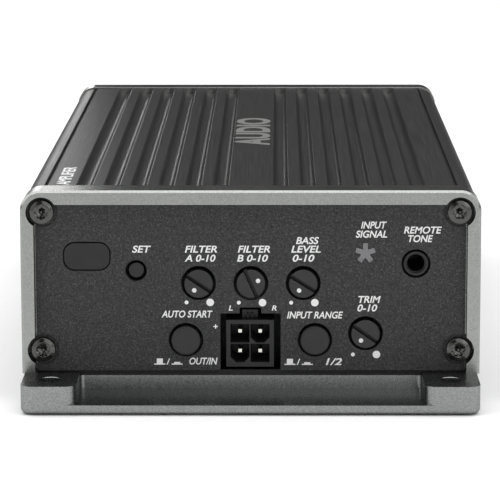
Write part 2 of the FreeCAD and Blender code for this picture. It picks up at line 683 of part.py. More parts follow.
def remote_jack():
    """A round-plug jack: barrel in the panel, square body behind, through the control board."""
    mouth = -PANEL_FRONT + 0.2
    barrel = rod_y(JACK_X, JACK_Z, JACK_BARREL_R, mouth, JACK_BODY_Y[0])
    left, right = JACK_X - JACK_BODY, JACK_X + JACK_BODY
    body = box(left, right, *JACK_BODY_Y, JACK_Z - JACK_BODY, JACK_Z + JACK_BODY)
    bore = rod_y(JACK_X, JACK_Z, JACK_BORE_R, mouth - 1, mouth + JACK_BORE_DEPTH)
    lead_in = rod_y(JACK_X, JACK_Z, JACK_MOUTH_R, mouth - 1, mouth + JACK_MOUTH_DEPTH)
    save("remote_jack", cut(fuse([barrel, body]), [bore, lead_in]))
    tails = []
    for side, y in JACK_TAILS:
        x0 = right if side > 0 else left - JACK_TAIL_OUT
        tails.append(box(x0, x0 + JACK_TAIL_OUT, y - 0.6, y + 0.6, JACK_Z - 1.5, JACK_Z + 1.5))
    save("jack_tails", *tails)


def header_cells():
    """The centre of each of the header's four cells, and whether its lower corners are cut off."""
    half = HEADER_PITCH / 2
    for sx, sz in ((-1, 1), (1, 1), (-1, -1), (1, -1)):
        yield HEADER_X + sx * half, HEADER_Z + sz * half, sx == sz


def input_header():
    half = HEADER_SIZE / 2
    left, right = HEADER_X - half, HEADER_X + half
    front, top = -HEADER_FRONT, HEADER_Z + half
    body = box(left, right, front, -HEADER_BACK, HEADER_Z - half, top)
    latch_y = front + LATCH_SET_BACK
    latch = box(HEADER_X - LATCH_HALF, HEADER_X + LATCH_HALF, latch_y, latch_y + LATCH_DEPTH, top, LATCH_TOP)
    ribs = []
    for x in (HEADER_X - RIB_AT, HEADER_X + RIB_AT):
        ribs.append(box(x - RIB_HALF, x + RIB_HALF, latch_y - 0.6, latch_y, top, LATCH_TOP - 0.6))
    cells = []
    cell = HEADER_CELL / 2
    for x, z, cropped in header_cells():
        low = HEADER_CROP if cropped else 0.0
        corners = [(x - cell, z + cell, 0), (x + cell, z + cell, 0)]
        if cropped:
            corners += [(x + cell, z - cell + low, 0), (x + cell - low, z - cell, 0)]
            corners += [(x - cell + low, z - cell, 0), (x - cell, z - cell + low, 0)]
        else:
            corners += [(x + cell, z - cell, 0), (x - cell, z - cell, 0)]
        cells.append(prism_y(corners, front - 1, front + HEADER_CELL_DEPTH))
    body = cut(fuse([body, latch] + ribs), cells)
    grip = PIN_SIZE / 2
    pins, sockets = [], []
    for x, z, _ in header_cells():
        shaft = box(x - grip, x + grip, -PIN_FRONT, CONTROL_BOARD_BACK + 1.5, z - grip, z + grip)
        pins.append(shaft)
        sockets.append(shaft)
    save("input_header", cut(body, sockets))
    save("input_header_pins", *pins)


def link_pin_places():
    return [LINK_PIN_X + LINK_PIN_PITCH * i for i in range(LINK_PINS)]


def control_board():
    half = CONTROL_BOARD_HALF
    board = box(-half, half, CONTROL_BOARD_Y, CONTROL_BOARD_BACK, *CONTROL_BOARD_Z)
    y0, y1 = CONTROL_BOARD_Y - 1, CONTROL_BOARD_BACK + 1
    tools = [box(JACK_X - 5.4, JACK_X + 6, y0, y1, JACK_Z - 4.2, JACK_Z + 4.2)]
    grip = PIN_SIZE / 2
    for x, z, _ in header_cells():
        tools.append(box(x - grip, x + grip, y0, y1, z - grip, z + grip))
    for x in (LAMP_X - LED_LEAD_AT, LAMP_X + LED_LEAD_AT):
        tools.append(box(x - LED_LEAD, x + LED_LEAD, y0, y1, LAMP_Z - LED_LEAD, LAMP_Z + LED_LEAD))
    for x in link_pin_places():
        tools.append(box(x - LINK_PIN_HALF, x + LINK_PIN_HALF, y0, y1, *LINK_PIN_Z))
    save("control_board", cut(board, tools))


def board_link():
    """A row of angled pins in a plastic strip that joins the control board to the main board."""
    strip = box(*LINK_STRIP_X, CONTROL_BOARD_BACK, CONTROL_BOARD_BACK + 2.5, *LINK_STRIP_Z)
    low, high = LINK_PIN_Z
    tip = MAIN_BOARD_Z - 0.9
    pins = []
    for x in link_pin_places():
        left, right = x - LINK_PIN_HALF, x + LINK_PIN_HALF
        across = box(left, right, CONTROL_BOARD_Y - 1.0, LINK_PIN_DOWN_Y[1], low, high)
        down = box(left, right, *LINK_PIN_DOWN_Y, tip, high)
        pins.append(fuse([across, down]))
    save("board_link_strip", cut(strip, pins))
    save("board_link_pins", *pins)


# ---------------------------------------------------------------- terminal end
def cell_places(centre, cells):
    """(name, middle x, inner cage width) of each terminal cell in a block."""
    x = centre - block_span(cells) / 2 + CELL_WALL
    for name, width in cells:
        pocket = width + 2 * CAGE_WALL + 2 * CAGE_PLAY
        yield name, x + pocket / 2, width
        x += pocket + CELL_WALL


def terminal_housing(centre, cells):
    half = block_span(cells) / 2
    z0, z1 = TERMINAL_Z
    body = box(centre - half, centre + half, TERMINAL_IN_Y, TERMINAL_OUT_Y, z0, z1)
    outer = [e for e in body.Edges if e.BoundBox.YMin > TERMINAL_OUT_Y - 0.01]
    body = body.makeFillet(0.6, outer)
    tools = []
    y0, y1 = CAGE_Y[0] - CAGE_PLAY, CAGE_Y[1] + CAGE_PLAY
    low, high = CAGE_Z[0] - CAGE_PLAY, CAGE_Z[1] + CAGE_TRAVEL + 0.1
    sill = CAGE_Z[0] + CAGE_FLOOR
    seat, lid = TERMINAL_HEAD_Z[0] - 0.5, TERMINAL_HEAD_Z[1] + 0.15
    for _, x, width in cell_places(centre, cells):
        pocket = width / 2 + CAGE_WALL + CAGE_PLAY
        entry = width / 2
        tools.append(box(x - pocket, x + pocket, y0, y1, low, high))
        tools.append(box(x - entry, x + entry, y1 - 1, TERMINAL_OUT_Y + 1, sill, TONGUE_Z[0]))
        tools.append(rod_z(x, TERMINAL_SCREW_Y, TERMINAL_HEAD_R + RUNNING, seat, lid))
        tools.append(rod_z(x, TERMINAL_SCREW_Y, TERMINAL_HEAD_R - 0.25, lid - 0.5, z1 + 1))
        tools.append(tongue(x, width))
    return cut(body, tools)


def tongue(x, width):
    """A terminal's fixed contact: a tongue over the wire and a leg down to the main board."""
    half = width / 2 - 0.2
    across = box(x - half, x + half, 79.0, CAGE_Y[1], *TONGUE_Z)
    leg = box(x - half, x + half, 79.0, 80.2, MAIN_BOARD_TOP, TONGUE_Z[1])
    return fuse([across, leg])


def cage(x, width):
    """A rising clamp: a square ring open along the wire, with the screw's hole in its top."""
    half = width / 2
    z0, z1 = CAGE_Z
    ring = box(x - half - CAGE_WALL, x + half + CAGE_WALL, *CAGE_Y, z0, z1)
    inside = box(x - half, x + half, CAGE_Y[0] - 1, CAGE_Y[1] + 1, z0 + CAGE_FLOOR, z1 - CAGE_NUT)
    hole = rod_z(x, TERMINAL_SCREW_Y, TERMINAL_SHANK_R + RUNNING, z1 - CAGE_NUT - 1, z1 + 1)
    return cut(ring, [inside, hole])


def terminal_screw(x):
    """A slotted screw that turns in place, its tip on the tongue."""
    y = TERMINAL_SCREW_Y
    z0, z1 = TERMINAL_HEAD_Z
    head = rod_z(x, y, TERMINAL_HEAD_R, z0, z1)
    shank = rod_z(x, y, TERMINAL_SHANK_R, TONGUE_Z[1] + 0.05, z0)
    slots = [
        box(x - 1.9, x + 1.9, y - 0.4, y + 0.4, z1 - 1.0, z1 + 1),
        box(x - 0.4, x + 0.4, y - 1.3, y + 1.3, z1 - 1.0, z1 + 1),
    ]
    return cut(fuse([head, shank]), slots)


def terminals():
    contacts = []
    blocks = (
        ("power_terminal_housing", POWER_BLOCK_X, POWER_CELLS),
        ("speaker_terminal_housing", SPEAKER_BLOCK_X, SPEAKER_CELLS),
    )
    for node, centre, cells in blocks:
        save(node, terminal_housing(centre, cells))
        for name, x, width in cell_places(centre, cells):
            contacts.append(tongue(x, width))
            save(name + "_cage", cage(x, width))
            save(name + "_screw", terminal_screw(x))
    save("terminal_contacts", *contacts)


def status_lamp():
    led = rod_y(STATUS_LAMP_X, STATUS_LAMP_Z, LED_R, 79.0, PANEL_FRONT + 0.6)
    tip = [e for e in led.Edges if e.BoundBox.YMin > PANEL_FRONT + 0.5]
    led = led.makeFillet(0.9, tip)
    flange = rod_y(STATUS_LAMP_X, STATUS_LAMP_Z, LED_FLANGE_R, 78.0, 79.0)
    low, high = STATUS_LAMP_Z - LED_LEAD, STATUS_LAMP_Z + LED_LEAD
    legs = []
    for x in (STATUS_LAMP_X - LED_LEAD_AT, STATUS_LAMP_X + LED_LEAD_AT):
        back = box(x - LED_LEAD, x + LED_LEAD, 75.5, 78.0, low, high)
        down = box(x - LED_LEAD, x + LED_LEAD, 75.5, 76.0, MAIN_BOARD_TOP, high)
        legs.append(fuse([back, down]))
    save("status_lamp", fuse([led, flange] + legs))


# ---------------------------------------------------------------- main board and what stands on it
def main_board():
    board = box(-MAIN_BOARD_HALF, MAIN_BOARD_HALF, *MAIN_BOARD_Y, MAIN_BOARD_Z, MAIN_BOARD_TOP)
    holes = [rod_z(x, y, CLEAR_R, MAIN_BOARD_Z - 1, MAIN_BOARD_TOP + 1) for x, y in BOARD_SCREWS]
    for x in link_pin_places():
        left, right = x - LINK_PIN_HALF, x + LINK_PIN_HALF
        holes.append(box(left, right, *LINK_PIN_DOWN_Y, MAIN_BOARD_Z - 1, MAIN_BOARD_TOP + 1))
    save("main_board", cut(board, holes))


def ring_z(x, y, r_in, r_out, z0, z1):
    return cut(rod_z(x, y, r_out, z0, z1), [rod_z(x, y, r_in, z0 - 1, z1 + 1)])


def wound_core(x, y, r_in, r_out, height, cover, gap_degrees):
    """A ring core and its two windings, which wrap it by cover and leave a gap between them."""
    z0 = MAIN_BOARD_TOP + cover
    core = ring_z(x, y, r_in, r_out, z0, z0 + height)
    wrap = ring_z(x, y, r_in - cover, r_out + cover, z0 - cover, z0 + height + cover)
    reach = r_out + 2 * cover
    half_gap = math.radians(gap_degrees / 2)
    span = reach * math.sin(half_gap)
    slit = box(x - reach - 1, x + reach + 1, y - span, y + span, z0 - cover - 1, z0 + height + cover + 1)
    return core, cut(wrap, [core, slit])


def magnetics():
    core, winding = wound_core(*TRANSFORMER_AT, *TRANSFORMER_RING, 24)
    save("transformer_core", core)
    save("transformer_windings", winding)
    cores, windings = [], []
    for x, y in CHOKES_AT:
        core, winding = wound_core(x, y, *CHOKE_RING, 30)
        cores.append(core)
        windings += winding.Solids
    save("output_choke_cores", *cores)
    save("output_choke_windings", *windings)


def capacitor(x, y, r, height):
    can = rod_z(x, y, r, MAIN_BOARD_TOP, MAIN_BOARD_TOP + height)
    rims = [e for e in can.Edges if e.BoundBox.ZLength < 0.01]
    can = can.makeFillet(0.6, rims)
    ring = ring_z(x, y, r - 0.35, r + 1, MAIN_BOARD_TOP + 1.8, MAIN_BOARD_TOP + 2.6)
    return cut(can, [ring])


def capacitors():
    supply = [capacitor(x, y, *SUPPLY_CAN) for x, y in SUPPLY_CANS]
    rails = [capacitor(x, y, *RAIL_CAN) for x, y in RAIL_CANS]
    save("electrolytic_capacitors", *(supply + rails))
    low, high = MAIN_BOARD_TOP, MAIN_BOARD_TOP + FILM_H
    films = [box(*FILM_X, y - FILM_HALF, y + FILM_HALF, low, high) for y in FILM_Y]
    save("film_capacitors", *films)


def transistor(y):
    """A power transistor on the right-hand wall: body, metal tab and three cranked legs."""
    outer = WALL_INNER - PAD_THICK
    bottom, shoulder, top = TRANSISTOR_Z
    y0, y1 = y - TRANSISTOR_HALF, y + TRANSISTOR_HALF
    tab = box(outer - 1.3, outer, y0, y1, bottom, top)
    body = box(outer - TRANSISTOR_DEPTH, outer - 0.6, y0, y1, bottom, shoulder)
    root_x = outer - TRANSISTOR_DEPTH + 1.6
    legs = []
    for s in (-LEG_PITCH, 0, LEG_PITCH):
        y0, y1 = y + s - 0.4, y + s + 0.4
        root = box(root_x, root_x + 0.6, y0, y1, bottom - 1.2, bottom)
        across = box(LEG_X, root_x + 0.6, y0, y1, bottom - 1.7, bottom - 1.1)
        down = box(LEG_X, LEG_X + 0.6, y0, y1, MAIN_BOARD_TOP, bottom - 1.1)
        legs += [root, across, down]
    hole = rod_x(y, 29.0, 1.8, outer - 3, outer + 1)
    return cut(fuse([tab, body] + legs), [hole])


def power_stage():
    rights = [transistor(y) for y in TRANSISTOR_Y]
    save("power_transistors", *(rights + [mirror_x(t) for t in rights]))
    y0, y1 = TRANSISTOR_Y[0] - 6, TRANSISTOR_Y[-1] + 6
    holes = [rod_x(y, CLAMP_Z, CLEAR_R, 30, 50) for y in CLAMP_SCREW_Y]
    face = WALL_INNER - PAD_THICK
    pad = cut(box(face, WALL_INNER, y0, y1, TRANSISTOR_Z[0] - 0.8, TRANSISTOR_Z[2] + 1), holes)
    bar = box(CLAMP_BAR_X, face - TRANSISTOR_DEPTH, y0, y1, CLAMP_Z - 4, CLAMP_Z + 4)
    bar = cut(bar, holes)
    save("thermal_pads", pad, mirror_x(pad))
    save("clamp_bars", bar, mirror_x(bar))
    screws = [clamp_screw(y) for y in CLAMP_SCREW_Y]
    save("clamp_screws", *(screws + [mirror_x(s) for s in screws]))


def chips():
    low, high = MAIN_BOARD_TOP, MAIN_BOARD_TOP + CHIP_H
    across, along, height = PROCESSOR
    save("signal_processor", box(*across, *along, low, low + height))
    w, d = CHIP_HALF
    save("driver_chips", *[box(x - w, x + w, y - d, y + d, low, high) for x, y in CHIPS_AT])


def main():
    os.makedirs(PARTS, exist_ok=True)
    heatsink_shell()
    save("front_frame", end_frame())
    save("rear_frame", to_rear(end_frame()))
    base_plate()
    front_panel()
    rear_panel()
    save("front_gasket", end_gasket())
    save("rear_gasket", to_rear(end_gasket()))
    screws = [panel_screw(x, z) for x, z in corner_screw_places()]
    save("front_panel_screws", *screws)
    save("rear_panel_screws", *[to_rear(s) for s in screws])
    save("base_screws", *[base_screw(x, y) for x, y in BASE_SCREWS])
    save("board_screws", *[board_screw(x, y) for x, y in BOARD_SCREWS])
    for name, x, z, pointer in KNOBS:
        save(name, knob(x, z, pointer))
    save("potentiometers", *[pot_housing(x, z) for _, x, z, _ in KNOBS])
    for name, x in PUSH_BUTTONS:
        save(name, push_button(x))
    save("push_switches", *[push_switch(x) for _, x in PUSH_BUTTONS])
    set_button()
    set_switch()
    blanking_plug()
    signal_lamp()
    remote_jack()
    input_header()
    control_board()
    board_link()
    terminals()
    status_lamp()
    main_board()
    magnetics()
    capacitors()
    power_stage()
    chips()


main()
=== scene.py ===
import json
import math

import bmesh
import bpy
from mathutils import Matrix, Vector


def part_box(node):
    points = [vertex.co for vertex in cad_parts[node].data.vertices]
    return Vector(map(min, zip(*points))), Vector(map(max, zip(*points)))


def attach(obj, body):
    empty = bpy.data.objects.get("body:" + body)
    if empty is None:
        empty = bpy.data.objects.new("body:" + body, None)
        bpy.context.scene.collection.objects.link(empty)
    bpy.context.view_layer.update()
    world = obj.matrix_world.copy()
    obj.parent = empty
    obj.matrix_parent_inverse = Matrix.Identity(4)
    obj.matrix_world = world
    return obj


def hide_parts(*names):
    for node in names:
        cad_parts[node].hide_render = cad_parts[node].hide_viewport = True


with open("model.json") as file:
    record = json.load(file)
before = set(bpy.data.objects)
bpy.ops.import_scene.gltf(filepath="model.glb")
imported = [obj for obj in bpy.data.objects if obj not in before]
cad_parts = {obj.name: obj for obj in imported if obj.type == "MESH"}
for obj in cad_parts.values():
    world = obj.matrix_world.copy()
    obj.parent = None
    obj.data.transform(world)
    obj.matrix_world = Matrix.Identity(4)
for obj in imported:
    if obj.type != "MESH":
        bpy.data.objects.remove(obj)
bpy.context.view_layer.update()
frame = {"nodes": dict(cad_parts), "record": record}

MM = 0.001
NODES = frame["nodes"]
COLLECTION = bpy.context.scene.collection

# Millimetres, in the frame's own axes.
PRINT = 0.006  # how far printed marks stand off a surface
LETTER_SLANT = 0.22
CAP = 2.02  # size setting of the panel's capitals
FOOT_HOLE_X, FOOT_HOLE_Y = 41.2, 94.8
SCREW_X, SCREW_LOW_Z, SCREW_HIGH_Z = 43.1, 10.8, 39.8
SCREW_FRONT, SCREW_SEAT, SCREW_TIP = -89.05, -87.35, -73.5
SCREW_FACE_R = 1.52  # flat ring round the recess
SCREW_DOME_R = 1.10
SCREW_SHOULDER_R = 0.24
SCREW_HEAD_R = 2.5
THREAD_ROOT_R, THREAD_CREST_R, THREAD_PITCH = 1.0, 1.24, 0.62
POINTER_AT, POINTER_R, POINTER_DEPTH = 1.62, 0.50, 0.10
DIAL_LOW_AT, DIAL_LOW_R = -2.5, 0.41
DIAL_HIGH_AT, DIAL_HIGH_R = 2.4, 0.79


# ---------------------------------------------------------------- materials
class Look:
    """A procedural material: one principled shader fed by textures in the piece's own space."""

    def __init__(self, name, color, metallic=0.0, roughness=0.5, **sockets):
        self.material = bpy.data.materials.new(name)
        self.material.use_nodes = True
        self.tree = self.material.node_tree
        self.shader = self.tree.nodes["Principled BSDF"]
        self.place = self.tree.nodes.new("ShaderNodeTexCoord").outputs["Object"]
        self.material.diffuse_color = (*color, 1.0)
        self.shader.inputs["Base Color"].default_value = (*color, 1.0)
        self.shader.inputs["Metallic"].default_value = metallic
        self.shader.inputs["Roughness"].default_value = roughness
        for socket, value in sockets.items():
            self.shader.inputs[socket.replace("_", " ")].default_value = value
        self.color = color
        self.height = None

    def node(self, kind, **settings):
        """A new shader node with its settings."""
        made = self.tree.nodes.new(kind)
        for key, value in settings.items():
            setattr(made, key, value)
        return made

    def link(self, source, target):
        """Feeds a socket from another."""
        self.tree.links.new(source, target)

    def stretched(self, stretch):
        """The piece's own coordinates, scaled along each axis."""
        if stretch == (1, 1, 1):
            return self.place
        mapping = self.node("ShaderNodeMapping")
        mapping.inputs["Scale"].default_value = stretch
        self.link(self.place, mapping.inputs["Vector"])
        return mapping.outputs["Vector"]

    def noise(self, size_mm, detail=3.0, stretch=(1, 1, 1), rough=0.55):
        """Noise with features about size_mm across, longer along an axis whose stretch is small."""
        made = self.node("ShaderNodeTexNoise")
        made.inputs["Scale"].default_value = 1.0 / (size_mm * MM)
        made.inputs["Detail"].default_value = detail
        made.inputs["Roughness"].default_value = rough
        self.link(self.stretched(stretch), made.inputs["Vector"])
        return made.outputs["Fac"]

    def cells(self, size_mm):
        """A pattern of cells about size_mm across."""
        made = self.node("ShaderNodeTexVoronoi")
        made.inputs["Scale"].default_value = 1.0 / (size_mm * MM)
        self.link(self.place, made.inputs["Vector"])
        return made

    def spread(self, value, low, high, start=0.3, end=0.7):
        """Maps the range start to end of a texture on to low to high."""
        made = self.node("ShaderNodeMapRange")
        made.inputs["From Min"].default_value = start
        made.inputs["From Max"].default_value = end
        made.inputs["To Min"].default_value = low
        made.inputs["To Max"].default_value = high
        self.link(value, made.inputs["Value"])
        return made.outputs["Result"]

    def blended(self, factor, first, second):
        """Mixes two colours, each a constant or another node's output."""
        made = self.node("ShaderNodeMix", data_type="RGBA")
        self.link(factor, made.inputs["Factor"])
        for socket, value in ((made.inputs[6], first), (made.inputs[7], second)):
            if isinstance(value, tuple):
                socket.default_value = (*value, 1.0)
            else:
                self.link(value, socket)
        return made.outputs[2]

    def shade(self, value, amount):
        """Lightens and darkens the colour by a share, following a texture."""
        dark = tuple(c * (1 - amount) for c in self.color)
        light = tuple(min(1.0, c * (1 + amount)) for c in self.color)
        self.paint(self.blended(self.spread(value, 0, 1), dark, light))
        return self

    def paint(self, output):
        """Sets the base colour from a node."""
        self.link(output, self.shader.inputs["Base Color"])
        return self

    def gloss(self, value, low, high):
        """Varies the roughness between low and high, following a texture."""
        self.link(self.spread(value, low, high), self.shader.inputs["Roughness"])
        return self

    def relief(self, value, depth_mm, strength=1.0):
        """Adds a bump of about depth_mm."""
        made = self.node("ShaderNodeBump")
        made.inputs["Distance"].default_value = depth_mm * MM
        made.inputs["Strength"].default_value = strength
        self.link(value, made.inputs["Height"])
        if self.height is not None:
            self.link(self.height, made.inputs["Normal"])
        self.height = made.outputs["Normal"]
        self.link(self.height, self.shader.inputs["Normal"])
        return self


def brushed_anodising():
    """Black anodising over metal brushed along its length."""
    look = Look("anodised_black", (0.021, 0.021, 0.021), 0.3, 0.35)
    streaks = look.noise(0.30, 4.0, (1, 0.012, 1), 0.65)
    broad = look.noise(7.0, 3.0, (1, 0.25, 1))
    tint = look.blended(look.spread(streaks, 0, 1), (0.013, 0.013, 0.013), (0.030, 0.030, 0.0295))
    look.paint(look.blended(look.spread(broad, 0.0, 0.35), tint, (0.021, 0.021, 0.021)))
    look.gloss(streaks, 0.32, 0.42)
    look.relief(streaks, 0.004, 0.5).relief(look.noise(0.09, 2.0), 0.002, 0.5)
    return look.material


def blasted_aluminium():
    """Pale metal with a fine blasted grain."""
    look = Look("satin_aluminium", (0.29, 0.296, 0.288), 1.0, 0.25)
    grain = look.noise(0.40, 4.0, rough=0.75)
    cloud = look.noise(9.0, 4.0)
    tint = look.blended(look.spread(grain, 0, 1), (0.225, 0.231, 0.223), (0.345, 0.352, 0.342))
    look.paint(look.blended(look.spread(cloud, 0.0, 0.25), tint, (0.283, 0.289, 0.281)))
    look.gloss(cloud, 0.22, 0.28)
    look.relief(grain, 0.0006, 0.5)
    return look.material


def cast_coating():
    """A darker metal coating over a casting."""
    look = Look("cast_gunmetal", (0.25, 0.257, 0.253), 1.0, 0.28, Specular_Tint=(0.75, 0.75, 0.75, 1.0))
    grain = look.noise(0.40, 4.0, rough=0.75)
    cloud = look.noise(6.0, 4.0)
    tint = look.blended(look.spread(grain, 0, 1), (0.185, 0.191, 0.188), (0.325, 0.333, 0.329))
    look.paint(look.blended(look.spread(cloud, 0.0, 0.25), tint, (0.25, 0.257, 0.254)))
    look.gloss(grain, 0.24, 0.31)
    look.relief(grain, 0.001, 0.5)
    return look.material


def textured_panel():
    """Dark pebbled paint whose raised tops are painted lighter and hollows darker as painted light and
    shade, with scattered pale specks painted in as glints.
    """
    look = Look("panel_paint", (0.030, 0.030, 0.031), 0.0, 0.56, Specular_IOR_Level=0.30)
    pebbles = look.noise(0.40, 5.0, rough=0.8)
    cloud = look.noise(5.0, 3.0)
    # painted light and shade: the raised pebble tops are painted lighter and the hollows darker, following
    # the noise that makes the bump
    painted_lit_tops = look.spread(pebbles, 0, 1, 0.38, 0.64)
    base = look.blended(painted_lit_tops, (0.006, 0.006, 0.0063), (0.056, 0.056, 0.0565))
    base = look.blended(look.spread(cloud, 0.0, 0.2), base, (0.026, 0.026, 0.0266))
    # painted glints: pale specks scattered in the base colour stand in for glints off the paint
    glint_cells = look.cells(0.45)
    spark = look.spread(glint_cells.outputs["Distance"], 1.0, 0.0, 0.12, 0.42)
    chance = look.noise(0.45, 1.0)
    painted_glints = look.node("ShaderNodeMath", operation="MULTIPLY")
    look.link(spark, painted_glints.inputs[0])
    look.link(look.spread(chance, 0.0, 0.8, 0.42, 0.62), painted_glints.inputs[1])
    look.paint(look.blended(painted_glints.outputs[0], base, (0.110, 0.110, 0.110)))
    look.gloss(pebbles, 0.44, 0.64)
    look.relief(pebbles, 0.045, 0.8)
    return look.material


def moulded(name, color, roughness, grain_mm=0.16, depth=0.008, level=0.5):
    """Moulded plastic: a fine spark-eroded grain with faint flow clouds."""
    look = Look(name, color, 0.0, roughness, Specular_IOR_Level=level)
    grain = look.noise(grain_mm, 3.0)
    cloud = look.noise(3.0, 3.0)
    look.shade(cloud, 0.14)
    look.gloss(grain, roughness - 0.05, roughness + 0.07)
    look.relief(grain, depth, 0.7)
    return look.material


def plated(name, color, roughness, metallic=1.0):
    """Plated metal: faint handling marks over a fine grain."""
    look = Look(name, color, metallic, roughness)
    marks = look.noise(0.9, 5.0, (1, 0.35, 1), 0.7)
    look.shade(marks, 0.12)
    look.gloss(marks, roughness - 0.05, roughness + 0.10)
    look.relief(look.noise(0.12, 2.0), 0.003, 0.5)
    return look.material


def circuit_board():
    """Dark solder mask over raised copper tracks."""
    look = Look("circuit_board", (0.006, 0.012, 0.009), 0.0, 0.40, Specular_IOR_Level=0.25)
    tracks = look.cells(2.4)
    tracks.feature = "DISTANCE_TO_EDGE"
    copper = look.spread(tracks.outputs["Distance"], 1.0, 0.0, 0.04, 0.12)
    look.paint(look.blended(copper, (0.006, 0.012, 0.009), (0.014, 0.028, 0.020)))
    look.relief(copper, 0.02, 0.5).relief(look.noise(0.3, 2.0), 0.004, 0.4)
    return look.material


def wound_copper():
    """Turns of enamelled wire."""
    look = Look("enamelled_copper", (0.42, 0.15, 0.055), 0.7, 0.3, Coat_Weight=0.5)
    turns = look.node("ShaderNodeTexWave", bands_direction="Z")
    turns.inputs["Scale"].default_value = 380.0
    turns.inputs["Distortion"].default_value = 1.2
    look.link(look.place, turns.inputs["Vector"])
    # painted light and shade: the crowns of the turns are painted lighter and the grooves between them
    # darker, following the waves that make the bump
    look.paint(look.blended(turns.outputs["Fac"], (0.22, 0.065, 0.02), (0.50, 0.19, 0.07)))
    look.relief(turns.outputs["Fac"], 0.12, 0.8)
    return look.material


def smoked_window():
    """A frosted grey lamp window."""
    look = Look("lamp_window", (0.17, 0.17, 0.175), 0.0, 0.38)
    haze = look.noise(0.5, 4.0)
    look.shade(haze, 0.18)
    look.gloss(haze, 0.30, 0.46)
    look.relief(look.noise(0.2, 2.0), 0.004, 0.5)
    return look.material


def ink(name, color):
    """Screen-printed ink: slightly uneven cover, a little proud."""
    look = Look(name, color, 0.0, 0.5)
    cover = look.noise(0.12, 4.0, rough=0.7)
    look.shade(cover, 0.07)
    look.relief(cover, 0.006, 0.6)
    return look.material


def foam():
    """Soft black foam with open pores."""
    look = Look("black_foam", (0.012, 0.012, 0.013), 0.0, 0.9)
    pores = look.cells(0.35)
    # painted shade: the pores are painted darker where they sink in, following the cells that make the bump
    look.shade(pores.outputs["Distance"], 0.4)
    look.relief(pores.outputs["Distance"], 0.08, 0.8)
    return look.material


LOOKS = {
    "anodised_black": brushed_anodising(),
    "satin_aluminium": blasted_aluminium(),
    "cast_gunmetal": cast_coating(),
    "panel_paint": textured_panel(),
    "black_foam": foam(),
    "nickel_steel": plated("nickel_steel", (0.085, 0.085, 0.081), 0.12),
    "black_steel": plated("black_steel", (0.035, 0.035, 0.038), 0.38, 0.7),
    "zinc_steel": plated("zinc_steel", (0.55, 0.56, 0.58), 0.30),
    "switch_plastic": moulded("switch_plastic", (0.028, 0.028, 0.034), 0.45),
    "black_plastic": moulded("black_plastic", (0.015, 0.015, 0.0153), 0.34, level=0.32),
    "lamp_window": smoked_window(),
    "lamp_epoxy": moulded("lamp_epoxy", (0.62, 0.66, 0.68), 0.15),
    "tinned_brass": plated("tinned_brass", (0.72, 0.71, 0.66), 0.22),
    "circuit_board": circuit_board(),
    "terminal_plastic": moulded("terminal_plastic", (0.022, 0.022, 0.024), 0.42, 0.22, 0.012),
    "ferrite": moulded("ferrite", (0.035, 0.035, 0.040), 0.55, 0.3, 0.02),
    "enamelled_copper": wound_copper(),
    "capacitor_sleeve": moulded("capacitor_sleeve", (0.012, 0.014, 0.030), 0.28),
    "capacitor_box": moulded("capacitor_box", (0.30, 0.05, 0.02), 0.4),
    "chip_epoxy": moulded("chip_epoxy", (0.016, 0.016, 0.017), 0.5),
    "thermal_rubber": moulded("thermal_rubber", (0.25, 0.30, 0.36), 0.75),
    "bar_aluminium": plated("bar_aluminium", (0.55, 0.55, 0.56), 0.35),
    "knob_plastic": moulded("knob_plastic", (0.026, 0.026, 0.0267), 0.30, level=0.3),
    "button_plastic": moulded("button_plastic", (0.016, 0.016, 0.0164), 0.22, 0.3, 0.003, 0.32),
    "white_ink": ink("white_ink", (0.78, 0.782, 0.777)),
    "grey_ink": ink("grey_ink", (0.14, 0.14, 0.137)),
}
SLOT_OF = {row["node"]: row["material_slot"] for row in frame["record"]["subparts"]}
BODY_OF = {n: body for body, members in frame["record"]["behaviour"]["bodies"].items() for n in members}

for name, obj in NODES.items():
    obj.data.materials.clear()
    obj.data.materials.append(LOOKS[SLOT_OF[name]])


# ---------------------------------------------------------------- pieces
def piece(name, mesh, body, slot, look=None):
    """Puts a mesh in the scene as a piece that rides on a body."""
    obj = bpy.data.objects.new(name, mesh)
    COLLECTION.objects.link(obj)
    mesh.materials.clear()
    mesh.materials.append(LOOKS[look or slot])
    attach(obj, body)
    return obj


def soften(obj, width_mm, segments):
    """Rounds the sharp edges of a piece and shades it smoothly between them."""
    obj.data.shade_smooth()
    obj.data.set_sharp_from_angle(angle=math.radians(38))
    edge = obj.modifiers.new("edge", "BEVEL")
    edge.width = width_mm * MM
    edge.segments = segments
    edge.limit_method = "ANGLE"
    edge.angle_limit = math.radians(32)
    edge.use_clamp_overlap = True
    edge.harden_normals = True
    even = obj.modifiers.new("even", "WEIGHTED_NORMAL")
    even.keep_sharp = True


def welded(node):
    """A copy of a CAD node's mesh with its flat faces made whole."""
    mesh = NODES[node].data.copy()
    mesh.name = node + "_detail"
    shape = bmesh.new()
    shape.from_mesh(mesh)
    bmesh.ops.remove_doubles(shape, verts=shape.verts, dist=1e-6)
    bmesh.ops.dissolve_limit(shape, angle_limit=math.radians(0.4), verts=shape.verts, edges=shape.edges)
    shape.to_mesh(mesh)
    shape.free()
    return mesh


def detailed(node, width_mm, segments=3):
    """The node's own shape with rounded edges, standing in for it."""
    obj = piece(node + "_detail", welded(node), BODY_OF[node], SLOT_OF[node])
    soften(obj, width_mm, segments)
    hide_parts(node)
    return obj


